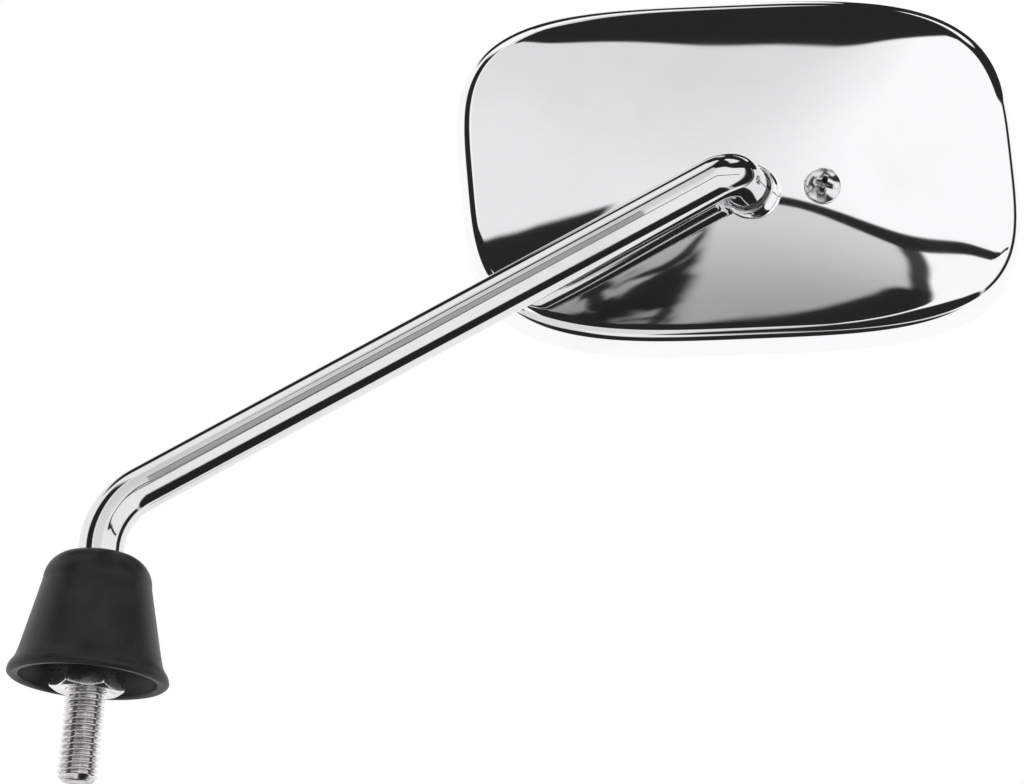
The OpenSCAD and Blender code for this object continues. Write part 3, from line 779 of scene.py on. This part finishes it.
def rodChromeFinish(look, form):
    # Chrome on drawn steel with faint rings of polishing. The stud below is bright plate with painted shade
    # in its thread roots, mottled with grime.
    material, tree, place, shader = newFinish("rod_chrome")
    x, y, z = (addNode(tree, "ShaderNodeSeparateXYZ", {}, {0: place}, output=k) for k in range(3))
    fromAxis = (x * x + y * y) ** 0.5
    onStud = 1.0 - ramp(tree, z, form["threadTop"] * mm, (form["threadTop"] + 1.0) * mm)
    haze = ramp(tree, noise(tree, place, 60.0, 4.0, 0.6), 0.45, 0.78)
    rings = noise(tree, stretch(tree, place, (700.0, 300.0, 700.0)), 1.0, 2.0, 0.5)
    root = 1.0 - ramp(tree, fromAxis, (form["studDiameter"] / 2 - form["threadDepth"]) * mm,
                      (form["studDiameter"] / 2 - 0.15) * mm)
    # painted shade: the thread roots are darkened, broken up by grime noise
    rootShadeAndGrime = onStud * root * ramp(tree, noise(tree, place, 420.0, 3.0, 0.6), 0.25, 0.7)
    arm = mixColour(tree, haze * 0.7, grey(look["bright"], (0.995, 1.0, 1.01)), grey(look["dull"]))
    stud = mixColour(tree, rootShadeAndGrime * 0.75, grey(look["studBright"], (1.0, 0.99, 0.97)),
                     grey(look["studRootShadeAndGrime"], (1.0, 0.95, 0.88)))
    studRough = onStud * (look["studRough"] + look["grimeRough"] * rootShadeAndGrime)
    plug(tree, shader, metal=1.0, colour=mixColour(tree, onStud, arm, stud),
         rough=look["rough"] + haze * (look["hazeRough"] - look["rough"]) + studRough,
         normal=bump(tree, rings, 0.12, 0.00003))
    return material


# The dark grey here darkens the screw's cross slot, more where the slot is deeper
zincLook = {"bright": 0.84, "dull": 0.66, "wornEdge": 0.9, "slotDark": 0.12, "rough": 0.13, "stainRough": 0.30}


def zincFinish(look):
    # Bright zinc on machined steel: fine grain, soft stains, worn bright edges, and a darker colour deeper
    # in the screw's cross slot
    material, tree, place, shader = newFinish("bright_zinc")
    hollow = addNode(tree, "ShaderNodeAttribute", {"attribute_name": "hollow"}, output=2)
    stains = ramp(tree, noise(tree, place, 260.0, 4.0, 0.6), 0.40, 0.72)
    grain = noise(tree, place, 2600.0, 3.0, 0.6)
    worn = ramp(tree, addNode(tree, "ShaderNodeNewGeometry", output=7), 0.50, 0.56)
    plate = mixColour(tree, stains * 0.8, grey(look["bright"], (0.99, 1.0, 1.01)),
                      grey(look["dull"], (1.0, 0.98, 0.94)))
    plate = mixColour(tree, worn * 0.6, plate, grey(look["wornEdge"]))
    # darker colour deeper in the cross slot, by the slot depth stored on the screw
    slotDarkened = mixColour(tree, ramp(tree, hollow, 0.12, 0.55) * 0.8, plate, grey(look["slotDark"]))
    plug(tree, shader, metal=1.0, colour=slotDarkened,
         rough=look["rough"] + stains * (look["stainRough"] - look["rough"]) + grain * 0.05,
         normal=bump(tree, grain, 0.18, 0.00002))
    return material


bootLook = {"black": 0.010, "worn": 0.020, "rough": 0.36, "dustRough": 0.52, "specular": 0.32}


def bootFinish(look, form):
    # Satin moulded rubber: fine grain and pores, with a little dust in clouds, on edges and low on the skirt
    material, tree, place, shader = newFinish("boot_rubber_satin")
    height = addNode(tree, "ShaderNodeSeparateXYZ", {}, {0: place}, output=2)
    cloud = noise(tree, place, 120.0, 5.0, 0.62)
    grain = noise(tree, place, 3200.0, 2.0, 0.6)
    pores = ramp(tree, noise(tree, place, 700.0, 2.0, 0.5), 0.66, 0.74)
    lowSkirt = 1.0 - ramp(tree, height, form["base"] * mm, (form["base"] + 9.0) * mm)
    edges = ramp(tree, addNode(tree, "ShaderNodeNewGeometry", output=7), 0.51, 0.58)
    worn = ramp(tree, cloud, 0.42, 0.75) * 0.7 + edges * 0.6 + lowSkirt * 0.12
    plug(tree, shader, metal=0.0, specular=look["specular"],
         colour=mixColour(tree, worn, grey(look["black"], (1.0, 1.0, 1.02)), grey(look["worn"])),
         rough=look["rough"] + worn * (look["dustRough"] - look["rough"]) + grain * 0.06,
         normal=bump(tree, grain * 0.6 + cloud * 2.0 - pores * 0.8, 0.35, 0.00006))
    return material


channelLook = {"black": 0.022, "worn": 0.04, "rough": 0.6}


def channelFinish(look):
    # Matte extruded rubber with fine grain and chalky bloom
    material, tree, place, shader = newFinish("channel_rubber_matte")
    bloom = ramp(tree, noise(tree, place, 150.0, 4.0, 0.6), 0.45, 0.75)
    grain = noise(tree, place, 2400.0, 2.0, 0.6)
    plug(tree, shader, metal=0.0, colour=mixColour(tree, bloom, grey(look["black"]), grey(look["worn"])),
         rough=look["rough"] + bloom * 0.15, normal=bump(tree, grain, 0.25, 0.00005))
    return material


glassLook = {"silver": 0.90, "smear": 0.86, "rough": 0.012, "smearRough": 0.05}


def mirrorFinish(look):
    # Silvered glass with faint wiping smears
    material, tree, place, shader = newFinish("mirror_silver")
    wiped = noise(tree, stretch(tree, place, (30.0, 30.0, 140.0)), 1.0, 4.0, 0.6, 0.8)
    smear = ramp(tree, wiped, 0.50, 0.80)
    plug(tree, shader, metal=1.0,
         colour=mixColour(tree, smear, grey(look["silver"], (0.98, 1.0, 1.0)), grey(look["smear"])),
         rough=look["rough"] + smear * (look["smearRough"] - look["rough"]), coat=0.4, coatRough=0.01)
    return material


hiddenLook = {  # colour, roughness, metal and scale of the mottling
    "nylon_natural": ((0.93, 0.93, 0.91, 1), 0.45, 0.0, 220.0),
    "pressed_steel": ((0.42, 0.43, 0.44, 1), 0.42, 1.0, 160.0),
    "backing_board_grey": ((0.16, 0.16, 0.16, 1), 0.75, 0.0, 120.0),
}


def plainFinish(name, colour, rough, metal, scale):
    # Hidden pieces: their own colour with mottling and grain
    material, tree, place, shader = newFinish(name)
    mottle = ramp(tree, noise(tree, place, scale, 4.0, 0.6), 0.35, 0.75)
    darker = tuple(c * 0.72 for c in colour[:3]) + (1,)
    plug(tree, shader, metal=metal, colour=mixColour(tree, mottle, colour, darker),
         rough=rough + mottle * 0.12,
         normal=bump(tree, noise(tree, place, scale * 12, 2.0, 0.5), 0.2, 0.00003))
    return material


zinc = zincFinish(zincLook)
nylon, pressed, board = (plainFinish(name, *look) for name, look in hiddenLook.items())
nodes = frame["nodes"]
wears = {
    stem: rodChromeFinish(rodLook, stemForm), nut: zinc, boot: bootFinish(bootLook, bootForm),
    shell: shellChromeFinish(chromeLook), screw: zinc, glass: mirrorFinish(glassLook),
    channel: channelFinish(channelLook), nodes["front_seat"]: nylon, nodes["rear_seat"]: nylon,
    nodes["clamp_plate"]: pressed, nodes["spring_washer"]: zinc, nodes["square_nut"]: zinc,
    nodes["backing"]: board,
}
for piece, material in wears.items():
    piece.data.materials.clear()
    piece.data.materials.append(material)
print("finishes made")


# Floor, studio and camera

floorForm = {"level": -420, "reach": 6000, "colour": 0.86}


def flatSheet(name, corners):
    # One flat face through four corners
    mesh = bpy.data.meshes.new(name)
    mesh.from_pydata([tuple(np.array(c) * mm) for c in corners], [], [(0, 1, 2, 3)])
    sheet = bpy.data.objects.new(name, mesh)
    bpy.context.scene.collection.objects.link(sheet)
    return sheet


def buildFloor(form):
    # A flat square well below the mirror, which is shown held up by its stud
    reach = form["reach"]
    around = ((-reach, -reach), (reach, -reach), (reach, reach), (-reach, reach))
    floor = flatSheet("floor", [(x, y, form["level"]) for x, y in around])
    material, tree, place, shader = newFinish("floor_pale")
    cloud = noise(tree, place, 1.5, 2.0, 0.5)
    pale = mixColour(tree, cloud, grey(form["colour"]), grey(form["colour"] + 0.02))
    plug(tree, shader, colour=pale, rough=0.8, specular=0.2)
    floor.data.materials.append(material)
    floor.visible_glossy = False  # shiny pieces look through it at the studio below


flagCard = {
    "distance": 45, "halfWidth": 12, "lift": 13, "from": 8, "to": 124,
    "middle": 0.42, "edge": 0.10, "edgeStart": 0.72, "edgeEnd": 0.86,
}


def buildFlag(form, stemSizes):
    # Grey card along the arm, seen only in shiny pieces, like a photographer's flag. It is darker along its
    # long edges.
    turn, lift = math.radians(stemSizes["lowerTurn"]), math.radians(form["lift"])
    along = np.array([math.sin(turn), 0, math.cos(turn)])
    towards = np.array([0, -math.cos(lift), math.sin(lift)])
    across = unit(np.cross(towards, along))
    middle = np.array([0, 0, stemSizes["lowerCorner"]]) + form["distance"] * towards
    corners = [middle + s * along + w * form["halfWidth"] * across
               for s, w in ((form["from"], -1), (form["to"], -1), (form["to"], 1), (form["from"], 1))]
    flag = flatSheet("flag", corners)
    material, tree, place, shader = newFinish("flag_grey")
    width = addNode(tree, "ShaderNodeVectorMath", {"operation": "DOT_PRODUCT"}, {0: place, 1: tuple(across)},
                    output=1)
    share = (width - float(middle @ across) * mm) * (1 / (form["halfWidth"] * mm))
    share = share.math("ABSOLUTE", share)
    outer = ramp(tree, share, form["edgeStart"], form["edgeEnd"])
    level = form["middle"] + outer * (form["edge"] - form["middle"])
    glow = mixColour(tree, level, grey(0.0), grey(1.0))
    tree.links.new(glow.socket, shader.inputs["Emission Color"])
    shader.inputs["Emission Strength"].default_value = 1.0
    shader.inputs["Base Color"].default_value = grey(0.0)
    shader.inputs["Specular IOR Level"].default_value = 0.0
    flag.data.materials.append(material)
    flag.visible_camera = flag.visible_diffuse = flag.visible_shadow = flag.visible_transmission = False


lamps = {  # place, aim, size and power
    "key_lamp": ((-500, -900, 700), (60, 0, 80), 700, 5.0),
    "fill_lamp": ((700, -700, 100), (60, 0, 60), 600, 3.0),
}


def putInScene(thing, place, right, top, back):
    # Turns a lamp or camera to look away from back, with top upwards in its view, and sets its place
    turned = Matrix([[*right], [*top], [*back]]).transposed().to_4x4()
    turned.translation = place
    thing.matrix_world = turned
    bpy.context.scene.collection.objects.link(thing)


def buildLamp(name, place, aim, size, power):
    # Square lamp at a place, its back turned away from the aim
    lamp = bpy.data.objects.new(name, bpy.data.lights.new(name, "AREA"))
    lamp.data.shape, lamp.data.size, lamp.data.energy = "SQUARE", size * mm, power
    place, aim = np.array(place) * mm, np.array(aim) * mm
    back = unit(place - aim)
    side = unit(np.cross([0, 0, 1.0], back))
    putInScene(lamp, place, side, np.cross(back, side), back)
    lamp.visible_glossy = False  # the studio's own shapes are what shiny pieces show


studioShapes = {
    "leftLevel": 0.74, "lowLift": 0.10, "rightLevel": 1.05, "dark": 0.02, "counterLevel": 0.37,
    "counterLift": 0.8, "lightBelow": 0.75, "bottomLevel": 0.9, "plainLevel": 0.55, "sway": 2.0,
    "ceilingEdge": 44.3, "blockTop": 8.7, "railStart": 6.3, "railHalf": 1.2, "clothTop": -24,
    "standTop": -28,
    # Bearings at which a step starts and ends:
    "rightWall": (-6, 14), "farLeftWall": (-44, -34), "ceilingLeft": (-33, -29), "ceilingRight": (20, 55),
    "railDip": (0, 8), "railClimb": (8, 17), "railFall": (18, 38), "railSwell": (2, 9.5),
    "railThin": (12, 34), "counterSide": (7.6, 8.4), "clothRise": (-1, 7.5), "clothLeft": (-9, -6),
    "standFall": (12, 46),
    # Heights at which a step starts and ends:
    "lowWall": (8, 45), "counterLight": (-22, 6), "lightStrip": (-52, -49), "bottom": (-81, -77),
    # Bearings of a shape's two ends, and their softness:
    "leftRear": (-80, -45, 3), "rightRear": (82, 106, 4), "rearTop": (-165, -104, 6),
    "ceilingStep": (-17, -4, 6), "leftSkylight": (-90, -24, 3), "rightSkylight": (48, 96, 6),
    "block": (-60, -16, 0.8), "blockStep": (-31, -21, 3), "rail": (-3, 70, 1.5),
    "counter": (-34, 10.2, 0.4), "corner": (-17, -4.6, 0.5), "cloth": (-40, 10.2, 0.6),
    "stand": (13, 108, 2), "front": (-125, 125, 6),
    # Heights of a shape's two ends, and their softness:
    "leftRearHeight": (-20, 50, 4), "rightRearHeight": (-34, 60, 3), "rearTopHeight": (42, 80, 4),
    "skylightHeight": (57.5, 84, 1), "seamHeight": (-80, -42, 3),
}


def buildWorld(form):
    # White to the camera. Shiny pieces see a white studio with darker shapes, each given by bearing and
    # height in degrees as seen from the mirror: bearing 0 is towards -Y and grows towards +X.
    world = bpy.data.worlds.new("studio")
    bpy.context.scene.world = world
    world.use_nodes = True
    tree = world.node_tree
    back = tree.nodes["Background"]
    direction = addNode(tree, "ShaderNodeTexCoord", output=0)
    camera = addNode(tree, "ShaderNodeLightPath", output=0)
    shiny = addNode(tree, "ShaderNodeLightPath", output=3)
    x, y, z = (addNode(tree, "ShaderNodeSeparateXYZ", {}, {0: direction}, output=k) for k in range(3))
    sway = (noise(tree, direction, 5.0, 2.0, 0.5) - 0.5) * form["sway"]
    degrees = 180 / math.pi
    bearing = x.math("ARCTAN2", x, -1.0 * y) * degrees + sway
    height = z.math("ARCSINE", z) * degrees + sway * 0.5

    def rise(value, low, high):
        return ramp(tree, value, low, high)

    def within(value, low, high, soft):
        return rise(value, low - soft, low + soft) * (1.0 - rise(value, high - soft, high + soft))

    def patch(name):
        return within(bearing, *form[name]) * within(height, *form[name + "Height"])

    # walls: grey on the left, white on the right and at the far left
    right = rise(bearing, *form["rightWall"]) + (1.0 - rise(bearing, *form["farLeftWall"]))
    wall = form["leftLevel"] + (1.0 - rise(height, *form["lowWall"])) * form["lowLift"]
    level = wall + right * (form["rightLevel"] - wall)
    # ceiling over the front, lower at the far right, with a skylight on each side
    edge = (form["ceilingEdge"] + 5.5 * within(bearing, *form["ceilingStep"])
            + 26.0 * (1.0 - rise(bearing, *form["ceilingLeft"]))
            - 12.0 * rise(bearing, *form["ceilingRight"]))
    skylights = within(bearing, *form["leftSkylight"]) + within(bearing, *form["rightSkylight"])
    skylights = within(height, *form["skylightHeight"]) * skylights
    ceiling = rise(height - edge, -0.5, 0.5) * (1.0 - skylights)
    # low dark block on the left
    blockTop = form["blockTop"] + 1.1 * within(bearing, *form["blockStep"])
    block = within(bearing, *form["block"]) * within(height, -6.0, blockTop, 0.5)
    # rail that dips in the middle and is thickest there
    line = (form["railStart"] - 2.4 * rise(bearing, *form["railDip"])
            + 4.4 * rise(bearing, *form["railClimb"]) - 3.0 * rise(bearing, *form["railFall"]))
    half = (form["railHalf"] + 0.6 * rise(bearing, *form["railSwell"])
            - 0.7 * rise(bearing, *form["railThin"]))
    rail = rise(height - line + half, -0.3, 0.3) * (1.0 - rise(height - line - half, -0.3, 0.3))
    rail = rail * within(bearing, *form["rail"])
    # counter under the rail: light at its top, with grey shards on its left and a dark right edge
    counter = within(bearing, *form["counter"]) * (1.0 - rise(height - line, -0.4, 0.4))
    shards = noise(tree, stretch(tree, direction, (13.0, 13.0, 5.0)), 1.0, 2.0, 0.5, 0.8)
    shards = rise(shards, 0.47, 0.56)
    corner = within(bearing + height * 0.15, *form["corner"])
    side = rise(bearing, *form["counterSide"])
    counterLevel = (form["counterLevel"] * (1.0 + form["counterLift"] * rise(height, *form["counterLight"]))
                    * (1.0 - corner * (0.3 + 0.66 * shards)) * (1.0 - side * 0.93))
    level = level + counter * (counterLevel - level)
    # dark cloth in front, dark stand to the right, light strip straight below and dark seam behind it
    clothTop = (form["clothTop"] + 14.0 * rise(bearing, *form["clothRise"])
                + 7.0 * (1.0 - rise(bearing, *form["clothLeft"])))
    cloth = within(bearing, *form["cloth"]) * within(height, -51.0, clothTop, 1.0)
    standTop = form["standTop"] - 8.0 * rise(bearing, *form["standFall"])
    stand = within(bearing, *form["stand"]) * within(height, -82.0, standTop, 2.0)
    seam = within(height, *form["seamHeight"]) * (1.0 - within(bearing, *form["front"]))
    level = level + (1.0 - rise(height, *form["lightStrip"])) * (form["lightBelow"] - level)
    level = level + (1.0 - rise(height, *form["bottom"])) * (form["bottomLevel"] - level)
    darkShapes = (patch("leftRear"), patch("rightRear"), patch("rearTop"), ceiling, block, rail, cloth,
                  stand, seam)
    for shape in darkShapes:
        level = level + shape * (form["dark"] - level)
    level = form["plainLevel"] + shiny * (level - form["plainLevel"])
    level = level + camera * (1.0 - level)
    tree.links.new(mixColour(tree, level, grey(0.0), grey(1.0)).socket, back.inputs["Color"])
    back.inputs["Strength"].default_value = 1.0


buildFloor(floorForm)
buildFlag(flagCard, stemForm)
for name, lamp in lamps.items():
    buildLamp(name, *lamp)
buildWorld(studioShapes)

cameraView = {
    "target": (77.58, 0, 67.93), "distance": 1200, "azimuth": 0.142, "lookUp": 15.839, "roll": 4.944,
    "lens": 213.3, "sensor": 36,
}


def buildCamera(form):
    # Looks at the target from below; roll turns the picture about the line of sight
    az, up, roll = (math.radians(form[k]) for k in ("azimuth", "lookUp", "roll"))
    forward = np.array([math.sin(az) * math.cos(up), math.cos(az) * math.cos(up), math.sin(up)])
    level = np.array([math.cos(az), -math.sin(az), 0])
    upright = np.cross(level, forward)
    right = level * math.cos(roll) + upright * math.sin(roll)
    top = -level * math.sin(roll) + upright * math.cos(roll)
    camera = bpy.data.objects.new("camera", bpy.data.cameras.new("camera"))
    camera.data.lens, camera.data.sensor_width = form["lens"], form["sensor"]
    camera.data.clip_start, camera.data.clip_end = 0.01, 50
    place = (np.array(form["target"]) - form["distance"] * forward) * mm
    putInScene(camera, place, right, top, -forward)
    bpy.context.scene.camera = camera


buildCamera(cameraView)
bpy.context.scene.view_settings.view_transform = "Standard"
print("studio and camera made")
